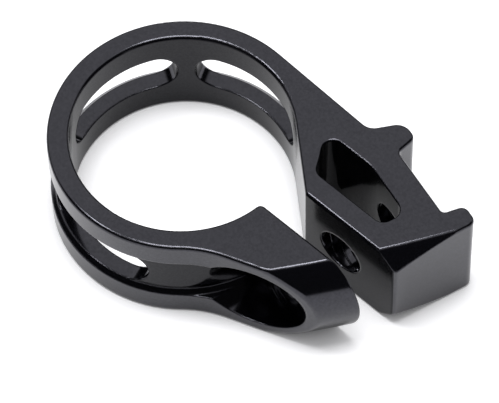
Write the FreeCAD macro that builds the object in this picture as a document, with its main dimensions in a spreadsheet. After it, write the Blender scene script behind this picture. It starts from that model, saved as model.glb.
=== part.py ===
import FreeCAD, Part
import math
import os
import re
import Sketcher

# Shifter clamp for a flat handlebar: one milled and anodised aluminium piece.
# Origin on the handlebar axis at the lower side face, +X along the clamp gap,
# +Y from the ear across the gap to the arm, +Z along the handlebar.

doc = FreeCAD.newDocument("shifter_clamp")

# Driving dimensions in millimetres and degrees
dimensions = [
    ("bar_diameter", 22.2, "handlebar that the clamp grips"),
    ("clamp_width", 11.64, "width along the handlebar"),
    ("ring_wall", 2.16, "wall of the ring"),
    ("back_slope", 2.4, "slope of the arm's back where it leaves the ring"),
    ("gap_ear", 0.7, "bar axis to the gap face of the ear"),
    ("gap_arm", 3.02, "bar axis to the gap face of the arm"),
    ("gap_corner", 0.6, "round where the bore meets the ear"),
    ("flare_angle", 49.4, "where the bore runs out straight under the arm"),
    ("bolt_offset", 7.05, "bore to the clamp bolt at the arm's gap face"),
    ("bolt_tilt", 16.3, "lean of the bolt axis from the gap's normal"),
    ("bolt_thread", 5, "threaded holes in the arm"),
    ("thread_exit", 0.5, "run of the threaded holes into the window"),
    ("bolt_clearance", 5.5, "clamp bolt hole in the ear"),
    ("head_recess", 9, "recess for the clamp bolt head"),
    ("ear_grip", 2.6, "ear left between the gap and the bolt head"),
    ("seat_level", 8.93, "arm's gap face to the shifter seat, along the bolt"),
    ("lug_rise", 2.3, "height of the lugs over the seat"),
    ("lug_round", 0.85, "round on the lug tops"),
    ("lug_back", 5.18, "bolt axis to the foot of the inner lug's back"),
    ("lug_foot_round", 1.5, "hollow round at the foot of the inner lug's back"),
    ("lug_back_round", 1.6, "round at the top of the inner lug's back"),
    ("inner_lug_foot", 3.89, "bolt axis to the inner lug at the seat"),
    ("inner_lug_lean", 0.57, "lean of the inner lug's seat side"),
    ("inner_lug_top", 2.05, "width of the inner lug's top"),
    ("outer_lug_foot", 4.15, "bolt axis to the outer lug at the seat"),
    ("outer_lug_lean", 0.4, "lean of the outer lug's seat side"),
    ("end_face", 6.75, "bolt axis to the end face"),
    ("seat_corner", 0.5, "round in the corners of the seat"),
    ("end_corner", 0.5, "round where the end face meets the gap"),
    ("flank_angle", 20.4, "slope of the ear's outer flank"),
    ("flank_inset", 1.79, "ear's outer flank inside the ring's outline"),
    ("flank_blend", 12, "hollow round from the ring into the flank"),
    ("nose_angle", 33, "slant of the nose"),
    ("nose_ahead", 3.92, "bolt axis to the nose at the side face"),
    ("nose_shift", 1.54, "bolt axis to the middle of the nose along its slant"),
    ("nose_bow", 144, "bow of the nose in plan"),
    ("nose_over", 1.18, "half width to the section round of the nose"),
    ("nose_corner", 0.7, "round between the nose and the flank"),
    ("channel_depth", 0.5, "depth of the channel round the ring"),
    ("slot_width", 4.92, "width of the slots and of the channel's floor"),
    ("slot_back_start", 69.6, "first end of the slot behind the arm"),
    ("slot_back_end", 115.2, "last end of the slot behind the arm"),
    ("slot_side_start", 149.1, "first end of the slot at the side"),
    ("slot_side_end", 194.7, "last end of the slot at the side"),
    ("slot_front_start", 241.5, "first end of the slot before the ear"),
    ("slot_front_end", 287.1, "last end of the slot before the ear"),
    ("window_wall", 2.53, "wall between the bore and the window"),
    ("window_floor", 2.41, "wall between the gap and the window"),
    ("window_rise", 6.62, "gap face to the far side of the window"),
    ("window_seat", 3.15, "wall between the shifter seat and the window"),
    ("window_end", 2.33, "bolt axis to the far end of the window"),
    ("window_corner", 1.2, "round in the window's near corners"),
    ("window_bend_round", 7, "round where the window's back wall bends"),
    ("window_nose", 1.2, "round at the window's far end"),
    ("window_edge", 0.15, "round on the window's edges"),
    ("edge_round", 0.35, "round on the edges of the side faces"),
    ("close", 0.01, "how near an edge lies to the place where it is looked for"),
]

sheet = doc.addObject("Spreadsheet::Sheet", "Dimensions")
for row, (name, size, note) in enumerate(dimensions, start=1):
    sheet.set(f"A{row}", note)
    sheet.set(f"B{row}", str(size))
    sheet.setAlias(f"B{row}", name)
doc.recompute()
names = {name for name, size, note in dimensions}


def formula(text):
    """Names the sheet before each dimension in a formula."""
    return re.sub(r"[a-z_]+", lambda word: ("Dimensions." if word[0] in names else "") + word[0], text)


def value(text):
    """Works a formula out, for the first draft of a sketch and for finding edges."""
    return float(sheet.evalExpression(formula(text)))


def bind(thing, target, text):
    """Ties a property or a constraint to the sheet."""
    thing.setExpression(target, formula(text))


body = doc.addObject("PartDesign::Body", "clamp_body")
body.Label = "clamp_body"
planes = {feature.Role: feature for feature in body.Origin.OriginFeatures}


def sketch_on(role, name):
    """Makes a sketch on one of the body's origin planes."""
    sketch = body.newObject("Sketcher::SketchObject", name)
    sketch.AttachmentSupport = [(planes[role], "")]
    sketch.MapMode = "FlatFace"
    return sketch


def upright_sketch(name, angle, x="0", y="0"):
    """Makes an upright sketch at x, y: its own x axis is turned by angle from +X, its y axis is +Z."""
    sketch = sketch_on("XZ_Plane", name)
    sketch.AttachmentOffset = FreeCAD.Placement(
        FreeCAD.Vector(value(x), 0, -value(y)),
        FreeCAD.Rotation(FreeCAD.Vector(0, 1, 0), 1),
    )
    bind(sketch, "AttachmentOffset.Rotation.Angle", angle)
    bind(sketch, "AttachmentOffset.Base.x", x)
    bind(sketch, "AttachmentOffset.Base.z", f"-({y})")
    return sketch


def pin_point(sketch, edge, end, x=None, y=None):
    """Holds one point of a sketch at formulas for x and y, measured from the sketch's origin."""
    for kind, text in (("DistanceX", x), ("DistanceY", y)):
        if text is not None:
            held = Sketcher.Constraint(kind, -1, 1, edge, end, value(text))
            number = sketch.addConstraint(held)
            bind(sketch, f"Constraints[{number}]", text)


def hold_radius(sketch, edge, radius):
    """Holds the radius of a circle or an arc at a formula."""
    number = sketch.addConstraint(Sketcher.Constraint("Radius", edge, value(radius)))
    bind(sketch, f"Constraints[{number}]", radius)


def join_ends(sketch, edges):
    """Joins the end of each edge to the start of the one after it, round a closed outline."""
    for edge, following in zip(edges, edges[1:] + edges[:1]):
        sketch.addConstraint(Sketcher.Constraint("Coincident", edge, 2, following, 1))


def draw_lines(sketch, corners):
    """Draws straight lines from corner to corner, the corners given as formulas."""
    points = [FreeCAD.Vector(value(x), value(y), 0) for x, y in corners]
    return [sketch.addGeometry(Part.LineSegment(*ends)) for ends in zip(points, points[1:])]


def draw_polygon(sketch, corners):
    """Draws a closed outline of straight lines."""
    lines = draw_lines(sketch, corners + corners[:1])
    join_ends(sketch, lines)
    for line, (x, y) in zip(lines, corners):
        pin_point(sketch, line, 1, x, y)


def draw_circle(sketch, x, y, radius):
    """Draws a circle whose centre and radius are formulas."""
    centre = FreeCAD.Vector(value(x), value(y), 0)
    circle = sketch.addGeometry(Part.Circle(centre, FreeCAD.Vector(0, 0, 1), value(radius)))
    pin_point(sketch, circle, 3, x, y)
    hold_radius(sketch, circle, radius)


def draw_arc_outline(sketch, x, y, radius, low, high, corners):
    """Draws an arc that bulges to +x from height low to height high, closed by lines through corners."""
    centre = FreeCAD.Vector(value(x), value(y), 0)
    circle = Part.Circle(centre, FreeCAD.Vector(0, 0, 1), value(radius))
    turns = [math.asin((value(height) - centre.y) / value(radius)) for height in (low, high)]
    arc = sketch.addGeometry(Part.ArcOfCircle(circle, *turns))
    ends = [(f"({x}) + sqrt(({radius})^2 - ({height} - ({y}))^2)", height) for height in (low, high)]
    lines = draw_lines(sketch, [ends[1]] + corners + [ends[0]])
    join_ends(sketch, [arc] + lines)
    pin_point(sketch, arc, 3, x, y)
    hold_radius(sketch, arc, radius)
    pin_point(sketch, arc, 1, y=low)
    pin_point(sketch, arc, 2, y=high)
    for line, (corner_x, corner_y) in zip(lines[1:], corners):
        pin_point(sketch, line, 1, corner_x, corner_y)


def finish(feature):
    """Recomputes a new feature and stops the build if it failed."""
    doc.recompute()
    if not feature.isValid() or feature.Shape.isNull() or not feature.Shape.isValid():
        raise RuntimeError(f"{feature.Name} did not build")
    return feature


def pad(sketch, name):
    """Raises a sketch by the clamp's width."""
    feature = body.newObject("PartDesign::Pad", name)
    feature.Profile = sketch
    bind(feature, "Length", "clamp_width")
    return finish(feature)


def cut(kind, sketch, name, **settings):
    """Makes a pocket or a groove and stops the build if it takes nothing away."""
    before = body.Shape.Volume
    feature = body.newObject(f"PartDesign::{kind}", name)
    feature.Profile = sketch
    for setting, choice in settings.items():
        if setting in ("Length", "Angle"):
            bind(feature, setting, choice)
        else:
            setattr(feature, setting, choice)
    finish(feature)
    if feature.Shape.Volume >= before:
        raise RuntimeError(f"{name} cut nothing")
    return feature


def cut_through(sketch, name):
    """Cuts a sketch on the lower side face right up through the clamp."""
    return cut("Pocket", sketch, name, Type="ThroughAll", Reversed=True)


def turn_cut(sketch, name, angle):
    """Turns an upright sketch about its own upright axis to cut round."""
    return cut("Groove", sketch, name, ReferenceAxis=(sketch, ["V_Axis"]), Angle=angle)


def round_edges(name, chosen, radius):
    """Rounds the edges of the last shape that the chosen test picks."""
    base = body.Tip
    picked = [f"Edge{number}" for number, edge in enumerate(base.Shape.Edges, start=1) if chosen(edge)]
    if not picked:
        raise RuntimeError(f"{name} found no edge")
    feature = body.newObject("PartDesign::Fillet", name)
    feature.Base = (base, picked)
    bind(feature, "Radius", radius)
    return finish(feature)


def upright_at(*places):
    """Tests for an upright edge that stands at one of the places, given as formulas."""
    spots = [(value(x), value(y)) for x, y in places]

    def test(edge):
        box = edge.BoundBox
        upright = box.ZLength > value("clamp_width - close") and max(box.XLength, box.YLength) < value("close")
        return upright and any(math.dist((box.Center.x, box.Center.y), spot) < value("close") for spot in spots)

    return test


def in_side_face(edge):
    """Tests for an edge that lies in one of the two flat side faces."""
    box = edge.BoundBox
    return box.ZMax < value("close") or box.ZMin > value("clamp_width - close")


def from_bolt(across, along):
    """Turns a place measured from the bolt axis at the arm's gap face into x and y."""
    x = f"bar_diameter / 2 + bolt_offset + ({across}) * cos(bolt_tilt) + ({along}) * sin(bolt_tilt)"
    y = f"gap_arm - ({across}) * sin(bolt_tilt) + ({along}) * cos(bolt_tilt)"
    return x, y


# Sizes that follow from the driving dimensions
bore_radius = "(bar_diameter / 2)"
ring_radius = "(bar_diameter / 2 + ring_wall)"
bolt_reach = "(bar_diameter / 2 + bolt_offset)"
flank_reach = f"({ring_radius} - flank_inset)"
middle = "(clamp_width / 2)"
beyond = f"({bolt_reach} + 2 * end_face)"

# Ring
ring_sketch = sketch_on("XY_Plane", "ring_outline")
draw_circle(ring_sketch, "0", "0", ring_radius)
pad(ring_sketch, "ring")


# Arm that leaves the ring straight, with the shifter seat between two lugs, square to the bolt axis
def back_y(x):
    """Place of the arm's back at a formula for x."""
    return f"({ring_radius} - ({x}) * sin(back_slope)) / cos(back_slope)"


lug_top = "seat_level + lug_rise"
inner_foot = from_bolt("-inner_lug_foot", "seat_level")
inner_tip = from_bolt("-inner_lug_foot - inner_lug_lean", lug_top)
inner_back = from_bolt("-inner_lug_foot - inner_lug_lean - inner_lug_top", lug_top)
outer_foot = from_bolt("outer_lug_foot", "seat_level")
outer_tip = from_bolt("outer_lug_foot + outer_lug_lean", lug_top)
outer_end = from_bolt("end_face", lug_top)
gap_end = from_bolt("end_face", "end_face * tan(bolt_tilt)")
back_foot = (f"{bolt_reach} - lug_back", back_y(f"{bolt_reach} - lug_back"))
back_start = (f"{ring_radius} * sin(back_slope)", f"{ring_radius} * cos(back_slope)")
arm_sketch = sketch_on("XY_Plane", "arm_outline")
draw_polygon(arm_sketch, [
    ("0", "gap_arm"),
    gap_end,
    outer_end,
    outer_tip,
    outer_foot,
    inner_foot,
    inner_tip,
    inner_back,
    back_foot,
    back_start,
])
pad(arm_sketch, "arm")
round_edges("lug_rounds", upright_at(outer_end, outer_tip, inner_tip), "lug_round")
round_edges("lug_back_rounds", upright_at(inner_back), "lug_back_round")
round_edges("lug_foot_rounds", upright_at(back_foot), "lug_foot_round")
round_edges("seat_corners", upright_at(outer_foot, inner_foot), "seat_corner")
round_edges("end_corner_round", upright_at(gap_end), "end_corner")


# Ear that the clamp bolt pulls towards the arm
def flank_y(x):
    """Place of the ear's outer flank at a formula for x."""
    return f"({x}) * tan(flank_angle) - {flank_reach} / cos(flank_angle)"


ear_sketch = sketch_on("XY_Plane", "ear_outline")
draw_polygon(ear_sketch, [
    ("0", "-gap_ear"),
    ("0", flank_y("0")),
    (beyond, flank_y(beyond)),
    (beyond, "-gap_ear"),
])
pad(ear_sketch, "ear")
flank_run = f"sqrt({ring_radius}^2 - {flank_reach}^2)"
flank_x = f"{flank_reach} * sin(flank_angle) + {flank_run} * cos(flank_angle)"
round_edges("flank_blend_round", upright_at((flank_x, flank_y(flank_x))), "flank_blend")

# Bore with its straight run-out under the arm, and the gap
bore_sketch = sketch_on("XY_Plane", "bore_outline")
draw_circle(bore_sketch, "0", "0", bore_radius)
cut_through(bore_sketch, "bore")

flare_x = f"{bore_radius} * cos(flare_angle)"
flare_y = f"{bore_radius} * sin(flare_angle)"
flare_end = f"{flare_x} + ({flare_y} - gap_arm) * tan(flare_angle)"
gap_sketch = sketch_on("XY_Plane", "gap_outline")
draw_polygon(gap_sketch, [
    (flare_x, "-gap_ear"),
    (beyond, "-gap_ear"),
    (beyond, "gap_arm"),
    (flare_end, "gap_arm"),
    (flare_x, flare_y),
])
cut_through(gap_sketch, "gap")
ear_corner = (f"sqrt({bore_radius}^2 - gap_ear^2)", "-gap_ear")
round_edges("gap_corner_round", upright_at(ear_corner), "gap_corner")

# Window through the arm, between the ring, the gap and the shifter seat
window_radius = f"({bore_radius} + window_wall)"
window_low = "(gap_arm + window_floor)"
window_high = "(gap_arm + window_rise)"
window_roof = "(seat_level - window_seat)"
roof_start = f"({window_roof} * cos(bolt_tilt) - {window_high} + gap_arm) / sin(bolt_tilt)"
floor_end = "(window_floor / cos(bolt_tilt) + window_end * tan(bolt_tilt))"
window_bend = from_bolt(roof_start, window_roof)
window_tip = from_bolt("window_end", window_roof)
window_heel = from_bolt("window_end", floor_end)
window_sketch = sketch_on("XY_Plane", "window_outline")
draw_arc_outline(
    window_sketch,
    "0",
    "0",
    window_radius,
    window_low,
    window_high,
    [window_bend, window_tip, window_heel],
)
cut_through(window_sketch, "window")
near_corners = [(f"sqrt({window_radius}^2 - ({y})^2)", y) for y in (window_low, window_high)]
round_edges("window_corners", upright_at(*near_corners), "window_corner")
round_edges("window_bend_rounds", upright_at(window_bend), "window_bend_round")
round_edges("window_ends", upright_at(window_tip, window_heel), "window_nose")

# Slanted nose over ear and arm, round in section and slightly bowed in plan
nose_across = f"({bolt_reach} * cos(nose_angle) - gap_arm * sin(nose_angle) + nose_ahead - nose_bow)"
nose_along = f"({bolt_reach} * sin(nose_angle) + gap_arm * cos(nose_angle) + nose_shift)"
nose_sketch = upright_sketch(
    "nose_section",
    "-nose_angle",
    f"{nose_across} * cos(nose_angle) + {nose_along} * sin(nose_angle)",
    f"{nose_along} * cos(nose_angle) - {nose_across} * sin(nose_angle)",
)
nose_round = f"({middle} + nose_over)"
nose_low = f"({middle} - ({nose_round} + {middle}) / 2)"
nose_high = f"({middle} + ({nose_round} + {middle}) / 2)"
nose_far = f"nose_bow + {nose_round} + end_face"
draw_arc_outline(
    nose_sketch,
    f"nose_bow - sqrt({nose_round}^2 - {middle}^2)",
    middle,
    nose_round,
    nose_low,
    nose_high,
    [(nose_far, nose_high), (nose_far, nose_low)],
)
turn_cut(nose_sketch, "nose", "360")


def between_nose_and_flank(edge):
    """Tests for the edge where the ear's flank runs into the nose."""
    places = edge.discretize(3)
    if edge.BoundBox.ZLength < value("clamp_width - close") or edge.BoundBox.XLength < value("close"):
        return False
    return all(abs(place.y - value(flank_y(str(place.x)))) < value("close") for place in places)


round_edges("nose_corner_round", between_nose_and_flank, "nose_corner")

# Channel round the ring and along the arm's back
channel_half = "(slot_width / 2)"
back_angle = "(90 - back_slope)"
back_run = f"({ring_radius} * tan({back_angle} - slot_back_start))"


def channel_sketch(name):
    """Makes the channel's section, with walls that lean at 45 degrees up to the ring's outline."""
    sketch = upright_sketch(name, back_angle)
    floor = f"{ring_radius} - channel_depth"
    outside = f"{ring_radius} + head_recess / 2"
    draw_polygon(sketch, [
        (floor, f"{middle} - {channel_half}"),
        (ring_radius, f"{middle} - {channel_half} - channel_depth"),
        (outside, f"{middle} - {channel_half} - channel_depth"),
        (outside, f"{middle} + {channel_half} + channel_depth"),
        (ring_radius, f"{middle} + {channel_half} + channel_depth"),
        (floor, f"{middle} + {channel_half}"),
    ])
    return sketch


turn_cut(channel_sketch("channel_section"), "channel", f"360 - bolt_tilt - {back_angle}")
cut("Pocket", channel_sketch("channel_back_section"), "channel_back", Length=back_run, Reversed=True)

end_sketch = sketch_on("XY_Plane", "channel_end_section")
bind(end_sketch, "AttachmentOffset.Rotation.Angle", "-back_slope")
bind(end_sketch, "AttachmentOffset.Base.x", f"{back_run} * cos(back_slope)")
bind(end_sketch, "AttachmentOffset.Base.y", f"-{back_run} * sin(back_slope)")
bind(end_sketch, "AttachmentOffset.Base.z", middle)
draw_polygon(end_sketch, [
    ("0", f"{ring_radius} - channel_depth"),
    (channel_half, f"{ring_radius} - channel_depth"),
    (f"{channel_half} + 2 * channel_depth", f"{ring_radius} + channel_depth"),
    ("0", f"{ring_radius} + channel_depth"),
])
turn_cut(end_sketch, "channel_end", "360")

# Bolt holes on one axis through the ear and the arm, and the recess for the bolt head
gap_along = "((gap_arm + gap_ear) / cos(bolt_tilt))"


def bolt_sketch(name, along, diameter):
    """Makes a circle square to the bolt axis, at a place along that axis."""
    sketch = upright_sketch(name, "-bolt_tilt", *from_bolt("0", along))
    draw_circle(sketch, "0", middle, f"{diameter} / 2")
    return sketch


thread_sketch = bolt_sketch("thread_circle", f"-{gap_along} / 2", "bolt_thread")
thread_run = f"{gap_along} / 2 + (window_floor + bolt_thread / 2 * sin(bolt_tilt)) / cos(bolt_tilt) + thread_exit"
cut("Pocket", thread_sketch, "thread_hole", Length=thread_run, Reversed=False)
seat_thread_sketch = bolt_sketch("seat_thread_circle", lug_top, "bolt_thread")
seat_thread_run = "lug_rise + window_seat + thread_exit"
cut("Pocket", seat_thread_sketch, "seat_thread_hole", Length=seat_thread_run, Reversed=True)
clear_sketch = bolt_sketch("clearance_circle", f"-{gap_along} / 2", "bolt_clearance")
cut("Pocket", clear_sketch, "clearance_hole", Type="ThroughAll", Reversed=True)
recess_sketch = bolt_sketch("recess_circle", f"-{gap_along} - ear_grip", "head_recess")
cut("Pocket", recess_sketch, "head_recess_cut", Type="ThroughAll", Reversed=True)

# Slots through the ring, with round ends square to the bar axis
slot_inner = f"{bore_radius} - ring_wall"
slot_outer = f"2 * {ring_radius}"
slot_low = f"{middle} - slot_width / 2"
slot_high = f"{middle} + slot_width / 2"
for place in ("back", "side", "front"):
    first = f"slot_{place}_start"
    last = f"slot_{place}_end"
    run_sketch = upright_sketch(f"slot_{place}_section", first)
    draw_polygon(run_sketch, [
        (slot_inner, slot_low),
        (slot_outer, slot_low),
        (slot_outer, slot_high),
        (slot_inner, slot_high),
    ])
    turn_cut(run_sketch, f"slot_{place}", f"{last} - {first}")
    for end in (first, last):
        end_sketch = upright_sketch(f"{end}_circle", f"{end} + 90")
        draw_circle(end_sketch, "0", middle, "slot_width / 2")
        cut("Pocket", end_sketch, f"{end}_round", Length=slot_outer, Reversed=True)

# Rounds on the edges of the two side faces, finer round the window
window_box = FreeCAD.BoundBox(
    value(f"{window_radius} * cos(asin({window_high} / {window_radius})) - close"),
    value(f"{window_low} - close"),
    value("-close"),
    value(f"({window_tip[0]}) + close"),
    value(f"{window_high} + close"),
    value("clamp_width + close"),
)
round_edges(
    "side_face_rounds",
    lambda edge: in_side_face(edge) and not window_box.isInside(edge.BoundBox),
    "edge_round",
)
round_edges(
    "window_rounds",
    lambda edge: in_side_face(edge) and window_box.isInside(edge.BoundBox),
    "window_edge",
)

# Every object of the document is sound before the piece is written
for thing in doc.Objects:
    if "Invalid" in thing.State or "Error" in thing.State:
        raise RuntimeError(f"{thing.Name} is not sound")
if len(body.Shape.Solids) != 1 or not body.Shape.isValid():
    raise RuntimeError("the clamp is not one sound solid")
os.makedirs("parts", exist_ok=True)
body.Shape.exportStep(f"parts/{body.Label}.step")
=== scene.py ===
import bpy
import math
from mathutils import Matrix, Vector


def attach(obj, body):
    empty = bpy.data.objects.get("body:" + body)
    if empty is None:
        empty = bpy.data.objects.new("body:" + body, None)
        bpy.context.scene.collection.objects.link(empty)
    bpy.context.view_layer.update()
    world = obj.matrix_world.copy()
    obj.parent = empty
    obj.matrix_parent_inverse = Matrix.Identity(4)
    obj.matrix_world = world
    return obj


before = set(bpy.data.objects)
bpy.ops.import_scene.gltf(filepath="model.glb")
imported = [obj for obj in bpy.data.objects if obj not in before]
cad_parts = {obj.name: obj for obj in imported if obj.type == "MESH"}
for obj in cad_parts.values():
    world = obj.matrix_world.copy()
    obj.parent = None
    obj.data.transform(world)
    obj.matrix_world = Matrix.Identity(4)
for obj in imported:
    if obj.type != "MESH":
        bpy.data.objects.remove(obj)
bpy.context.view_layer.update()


def linear(hexColour):
    # sRGB hex value to the linear colour a socket takes
    channels = [int(hexColour[i:i + 2], 16) / 255 for i in (1, 3, 5)]
    lit = [c / 12.92 if c <= 0.04045 else ((c + 0.055) / 1.055) ** 2.4 for c in channels]
    return (*lit, 1.0)


def addNode(tree, kind, settings=None, values=None, links=None):
    # one node with its settings, socket values and incoming links
    node = tree.nodes.new(kind)
    for name, setting in (settings or {}).items():
        setattr(node, name, setting)
    for socket, value in (values or {}).items():
        node.inputs[socket].default_value = value
    for socket, source in (links or {}).items():
        tree.links.new(source, node.inputs[socket])
    return node


def emptyMaterial(name):
    material = bpy.data.materials.new(name)
    material.use_nodes = True
    material.node_tree.nodes.clear()
    return material, material.node_tree


# camera of the photograph
shot = {
    "azimuth": 44.07,     # degrees, from the ear's side towards the gap's open end
    "elevation": 58.23,
    "roll": -1.068,
    "target": (5.194, 3.846, 0.0),  # mm
    "distance": 418.32,   # mm
    "lens": 303.0,        # mm
    "sensor": 36.0,       # mm
    "clip": (0.01, 20.0),  # m
}


def makeCamera(shot):
    turn, lift = math.radians(shot["azimuth"]), math.radians(shot["elevation"])
    back = Vector((math.sin(turn) * math.cos(lift), -math.cos(turn) * math.cos(lift),
                   math.sin(lift)))
    data = bpy.data.cameras.new("photoCamera")
    data.sensor_width = shot["sensor"]
    data.lens = shot["lens"]
    data.clip_start, data.clip_end = shot["clip"]
    camera = bpy.data.objects.new("photoCamera", data)
    bpy.context.scene.collection.objects.link(camera)
    place = (Vector(shot["target"]) + back * shot["distance"]) / 1000
    facing = (-back).to_track_quat("-Z", "Y").to_matrix().to_4x4()
    roll = Matrix.Rotation(math.radians(shot["roll"]), 4, "Z")
    camera.matrix_world = Matrix.Translation(place) @ facing @ roll
    bpy.context.scene.camera = camera
    return back


back = makeCamera(shot)
print("camera placed")

# black anodising on milled aluminium: a thin glassy oxide skin with nearly no colour of its own, so
# the eye sees mostly reflections; those on the inside walls are weaker only to match the
# photograph:
# painted shade in the hollows
anodising = {
    "colour": "#060609",
    "tint": "#f0f0ff",    # faint blue cast of the reflections
    "ior": 1.6,           # of the oxide
    "roughness": 0.11,
    "outside": 0.5,       # strength of the reflections
    # painted shade: weaker reflections on the walls inside the bore, gap and window
    "ringPaintedShade": 0.15,
    "gapPaintedShade": 0.1,
    "windowPaintedShade": 0.05,
    "grit": 0.25,         # mm, size of the fine grain
    "detail": 2.0,
    "spread": (0.3, 0.7),  # range of the grain's noise
    "mottle": 0.14,       # how much the grain changes the reflections
    "bump": 0.03,
    "relief": 0.02,       # mm
    "worn": 0.28,         # mm, how far the shading softens the edges
    "wornSamples": 8,
    # where that painted shade goes
    "upright": 0.5,       # a face that tilts up less than this is a wall
    "ring": 12.95,        # mm from the bore's middle, with the bore, slots and channel floor inside
    "runOut": 7.2,        # mm, where the bore runs out straight under the arm
    "gap": (-0.75, 3.07),  # mm, from the ear's face to the arm's
    "gapStart": 10.0,     # mm
    "window": (5.3, 5.95, 2.45),  # mm, its floor, its roof along the bolt and its end across it
    "windowStart": 6.0,   # mm
    "bolt": (18.15, 3.02),  # mm, where the bolt's axis crosses the arm's face
    "tilt": 16.3,         # degrees, lean of the bolt's axis
}


def makeAnodising(recipe):
    material, tree = emptyMaterial("blackAnodisedAluminium")

    def combine(kind, first, second):
        # a socket reckoned with another socket or a number
        node = addNode(tree, "ShaderNodeMath", {"operation": kind}, links={0: first})
        if isinstance(second, float):
            node.inputs[1].default_value = second
        else:
            tree.links.new(second, node.inputs[1])
        return node.outputs[0]

    def along(direction, origin):
        # mm from a point of the plan, along a direction of the plan
        shifted = addNode(tree, "ShaderNodeVectorMath", {"operation": "SUBTRACT"},
                          {1: (origin[0] / 1000, origin[1] / 1000, 0)}, {0: spot.outputs["Object"]})
        dot = addNode(tree, "ShaderNodeVectorMath", {"operation": "DOT_PRODUCT"},
                      {1: (direction[0] * 1000, direction[1] * 1000, 0)}, {0: shifted.outputs[0]})
        return dot.outputs["Value"]

    spot = addNode(tree, "ShaderNodeTexCoord")
    middle = (0, 0)
    x, y = along((1, 0), middle), along((0, 1), middle)
    squares = combine("ADD", combine("MULTIPLY", x, x), combine("MULTIPLY", y, y))
    radius = combine("SQRT", squares, 0.0)
    # masks of the inside walls that get the painted shade
    # the bore with its slots and channel, but not its run-out
    runOut = combine("MULTIPLY", combine("GREATER_THAN", x, recipe["runOut"]),
                     combine("GREATER_THAN", y, 0.0))
    ring = combine("SUBTRACT", combine("LESS_THAN", radius, recipe["ring"]), runOut)
    ring = combine("GREATER_THAN", ring, 0.5)
    # the two faces of the gap
    low, high = recipe["gap"]
    gap = combine("MULTIPLY", combine("GREATER_THAN", y, low), combine("LESS_THAN", y, high))
    gap = combine("MULTIPLY", gap, combine("GREATER_THAN", x, recipe["gapStart"]))
    # the window in the arm
    tilt = math.radians(recipe["tilt"])
    floor, roof, end = recipe["window"]
    up = along((math.sin(tilt), math.cos(tilt)), recipe["bolt"])
    across = along((math.cos(tilt), -math.sin(tilt)), recipe["bolt"])
    window = combine("MULTIPLY", combine("LESS_THAN", up, roof), combine("LESS_THAN", across, end))
    for place, start in ((y, floor), (x, recipe["windowStart"]), (radius, recipe["ring"])):
        window = combine("MULTIPLY", window, combine("GREATER_THAN", place, start))
    facing = addNode(tree, "ShaderNodeSeparateXYZ", links={"Vector": spot.outputs["Normal"]})
    upright = combine("LESS_THAN", combine("ABSOLUTE", facing.outputs["Z"], 0.0), recipe["upright"])
    # painted shade: the reflections are weakened on the walls inside these masks
    level = addNode(tree, "ShaderNodeValue").outputs[0]
    level.default_value = recipe["outside"]
    for place, strength in ((ring, "ringPaintedShade"), (gap, "gapPaintedShade"), (window, "windowPaintedShade")):
        wall = combine("MULTIPLY", place, upright)
        level = addNode(tree, "ShaderNodeMix", {"data_type": "FLOAT"}, {"B": recipe[strength]},
                        {"Factor": wall, "A": level}).outputs["Result"]
    grain = addNode(tree, "ShaderNodeTexNoise",
                    values={"Scale": 1000 / recipe["grit"], "Detail": recipe["detail"]},
                    links={"Vector": spot.outputs["Object"]})
    least, most = recipe["spread"]
    mottle = addNode(tree, "ShaderNodeMapRange",
                     values={"From Min": least, "From Max": most,
                             "To Min": 1 - recipe["mottle"], "To Max": 1 + recipe["mottle"]},
                     links={"Value": grain.outputs["Fac"]})
    shine = combine("MULTIPLY", level, mottle.outputs["Result"])
    worn = addNode(tree, "ShaderNodeBevel", {"samples": recipe["wornSamples"]},
                   {"Radius": recipe["worn"] / 1000})
    bump = addNode(tree, "ShaderNodeBump",
                   values={"Strength": recipe["bump"], "Distance": recipe["relief"] / 1000},
                   links={"Height": grain.outputs["Fac"], "Normal": worn.outputs["Normal"]})
    skin = addNode(tree, "ShaderNodeBsdfPrincipled",
                   values={"Base Color": linear(recipe["colour"]), "IOR": recipe["ior"],
                           "Roughness": recipe["roughness"],
                           "Specular Tint": linear(recipe["tint"])},
                   links={"Normal": bump.outputs["Normal"], "Specular IOR Level": shine})
    addNode(tree, "ShaderNodeOutputMaterial", links={"Surface": skin.outputs["BSDF"]})
    return material


anodised = makeAnodising(anodising)
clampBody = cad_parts["clamp_body"]
clampBody.data.materials.clear()
clampBody.data.materials.append(anodised)
print("clamp dressed")

# cut threads of the two M5 holes, each a ridge that winds round the hole
thread = {
    "radius": 2.5,        # mm
    "pitch": 0.8,         # mm
    "size": 0.22,         # mm, middle of the ridge to its crest
    "steps": 48,          # in a turn
    "middle": 5.82,       # mm over the table
    "holes": (            # mm along the bolt to the first turn, turns, and mm in y to keep between
        ("clampBoltThread", -0.4, 4, (3.4, 4.9)),
        ("shifterBoltThread", 6.2, 3, ()),
    ),
}


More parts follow.
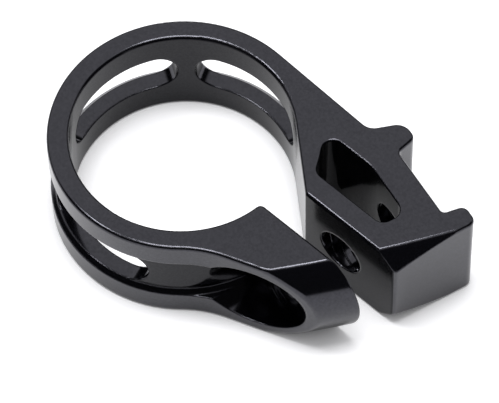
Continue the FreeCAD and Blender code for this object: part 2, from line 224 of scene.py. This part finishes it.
def makeThread(thread, name, start, turns, kept):
    bpy.ops.object.select_all(action="DESELECT")
    bpy.ops.mesh.primitive_circle_add(vertices=3, radius=thread["size"] / 1000, fill_type="NOTHING",
                                      location=(thread["radius"] / 1000, 0, 0),
                                      rotation=(math.pi / 2, -math.pi / 2, 0))
    ridge = bpy.context.object
    ridge.name = name
    bpy.ops.object.transform_apply(location=True, rotation=True, scale=True)
    screw = ridge.modifiers.new("winding", "SCREW")
    screw.axis = "Z"
    screw.screw_offset = thread["pitch"] / 1000
    screw.iterations = turns
    screw.steps = screw.render_steps = thread["steps"]
    screw.use_smooth_shade = True
    bpy.ops.object.modifier_apply(modifier=screw.name)
    tilt = math.radians(anodising["tilt"])
    axis = Vector((math.sin(tilt), math.cos(tilt), 0))
    ridge.rotation_euler = axis.to_track_quat("Z", "Y").to_euler()
    ridge.location = (Vector((*anodising["bolt"], thread["middle"])) + axis * start) / 1000
    bpy.ops.object.transform_apply(location=True, rotation=True, scale=True)
    bpy.ops.object.mode_set(mode="EDIT")
    for level in kept:
        below = level == kept[0]
        bpy.ops.mesh.select_all(action="SELECT")
        bpy.ops.mesh.bisect(plane_co=(0, level / 1000, 0), plane_no=(0, 1, 0), use_fill=True,
                            clear_inner=below, clear_outer=not below)
    bpy.ops.mesh.select_all(action="SELECT")
    bpy.ops.mesh.fill_holes(sides=0)   # closes the ends of the ridge
    bpy.ops.mesh.normals_make_consistent(inside=False)
    bpy.ops.object.mode_set(mode="OBJECT")
    ridge.data.materials.append(anodised)
    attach(ridge, "root")


for name, start, turns, kept in thread["holes"]:
    makeThread(thread, name, start, turns, kept)
print("threads cut")

# white table under the clamp, which keeps its real shadow; its glow, dimmed near the clamp, adds a
# painted shadow
table = {
    "size": 3.0,          # m
    "colour": "#f5f5f7",
    "glow": 0.45,         # share of white that the camera sees on top of the lit colour
    "contactPaintedShadow": 0.004,     # m, how far the clamp dims that glow, as a painted contact shadow
    "mirrored": 0.2,      # share of white that reflections see
    "shadow": 0.013,      # m, how far the clamp dims that, as a painted shadow in reflections
    "samples": 16,
}


def makeTable(table):
    bpy.ops.object.select_all(action="DESELECT")
    bpy.ops.mesh.primitive_plane_add(size=table["size"], location=(0, 0, 0))
    floor = bpy.context.object
    floor.name = "tableTop"
    material, tree = emptyMaterial("whiteTable")
    path = addNode(tree, "ShaderNodeLightPath")
    bounced = addNode(tree, "ShaderNodeMath", {"operation": "MAXIMUM"},
                      links={0: path.outputs["Is Glossy Ray"],
                             1: path.outputs["Is Transmission Ray"]})

    def glowWithPaintedShadow(reach, ray, strength):
        # glow that fades where the clamp stands near: a painted shadow, from ambient occlusion
        paintedShadowAO = addNode(tree, "ShaderNodeAmbientOcclusion", {"samples": table["samples"]},
                       {"Distance": reach})
        seen = addNode(tree, "ShaderNodeMath", {"operation": "MULTIPLY"}, {1: strength}, {0: ray})
        return addNode(tree, "ShaderNodeMath", {"operation": "MULTIPLY"},
                       links={0: seen.outputs[0], 1: paintedShadowAO.outputs["AO"]}).outputs[0]

    direct = glowWithPaintedShadow(table["contactPaintedShadow"], path.outputs["Is Camera Ray"], table["glow"])
    mirrored = glowWithPaintedShadow(table["shadow"], bounced.outputs[0], table["mirrored"])
    shown = addNode(tree, "ShaderNodeMath", {"operation": "ADD"}, links={0: direct, 1: mirrored})
    glow = addNode(tree, "ShaderNodeEmission", values={"Color": linear(table["colour"])},
                   links={"Strength": shown.outputs[0]})
    paint = addNode(tree, "ShaderNodeBsdfDiffuse", values={"Color": linear(table["colour"])})
    both = addNode(tree, "ShaderNodeAddShader",
                   links={0: paint.outputs["BSDF"], 1: glow.outputs["Emission"]})
    addNode(tree, "ShaderNodeOutputMaterial", links={"Surface": both.outputs[0]})
    floor.data.materials.append(material)


makeTable(table)
print("table made")

# two small lamps overhead, a pale ceiling and far wall, and a dark room on the camera's side
studio = {
    "lampHeight": 0.5,    # m
    "lamps": (            # m to the right and away in the picture, m wide and deep, W
        (0.0, 0.0, 0.2, 0.14, 1.3),
        (-0.2, 0.06, 0.1, 0.1, 0.6),
    ),
    "air": "#ffffff",
    "pale": 1.0,          # strength of the ceiling and the far wall
    "dark": 0.025,        # and of the rest of the room
    "far": (0.02, 0.3),   # how far away a direction points where the far wall begins
    "wall": (0.3, 0.55),  # how high it points there
    "ceiling": (0.8, 0.9),  # and where the ceiling begins
}


def makeStudio(studio, back):
    scene = bpy.context.scene
    scene.view_settings.view_transform = "Standard"
    away = Vector((-back.x, -back.y, 0)).normalized()
    right = Vector((away.y, -away.x, 0))
    for across, depth, wide, deep, power in studio["lamps"]:
        data = bpy.data.lights.new("lamp", "AREA")
        data.shape = "RECTANGLE"
        data.size, data.size_y = wide, deep
        data.energy = power
        lamp = bpy.data.objects.new("lamp", data)
        lamp.location = right * across + away * depth + Vector((0, 0, studio["lampHeight"]))
        lamp.rotation_euler = (0, 0, math.radians(shot["azimuth"]))
        scene.collection.objects.link(lamp)
    world = bpy.data.worlds.new("studioWorld")
    world.use_nodes = True
    tree = world.node_tree
    tree.nodes.clear()

    def fade(source, ends):
        # 0 to 1 between two values of a direction's part
        ramp = addNode(tree, "ShaderNodeMapRange", {"interpolation_type": "SMOOTHSTEP"},
                       {"From Min": ends[0], "From Max": ends[1]}, {"Value": source})
        return ramp.outputs["Result"]

    place = addNode(tree, "ShaderNodeTexCoord").outputs["Generated"]
    side = addNode(tree, "ShaderNodeVectorMath", {"operation": "DOT_PRODUCT"},
                   {1: tuple(away)}, {0: place})
    height = addNode(tree, "ShaderNodeSeparateXYZ", links={"Vector": place})
    wall = addNode(tree, "ShaderNodeMath", {"operation": "MULTIPLY"},
                   links={0: fade(side.outputs["Value"], studio["far"]),
                          1: fade(height.outputs["Z"], studio["wall"])})
    pale = addNode(tree, "ShaderNodeMath", {"operation": "MAXIMUM"},
                   links={0: wall.outputs[0], 1: fade(height.outputs["Z"], studio["ceiling"])})
    room = addNode(tree, "ShaderNodeMath", {"operation": "MULTIPLY_ADD"},
                   {1: studio["pale"], 2: studio["dark"]}, {0: pale.outputs[0]})
    path = addNode(tree, "ShaderNodeLightPath")
    shade = addNode(tree, "ShaderNodeMix", {"data_type": "FLOAT"}, {"B": 1.0},
                    {"Factor": path.outputs["Is Camera Ray"], "A": room.outputs[0]})
    air = addNode(tree, "ShaderNodeBackground", values={"Color": linear(studio["air"])},
                  links={"Strength": shade.outputs["Result"]})
    addNode(tree, "ShaderNodeOutputWorld", links={"Surface": air.outputs["Background"]})
    scene.world = world


makeStudio(studio, back)
print("studio lit")
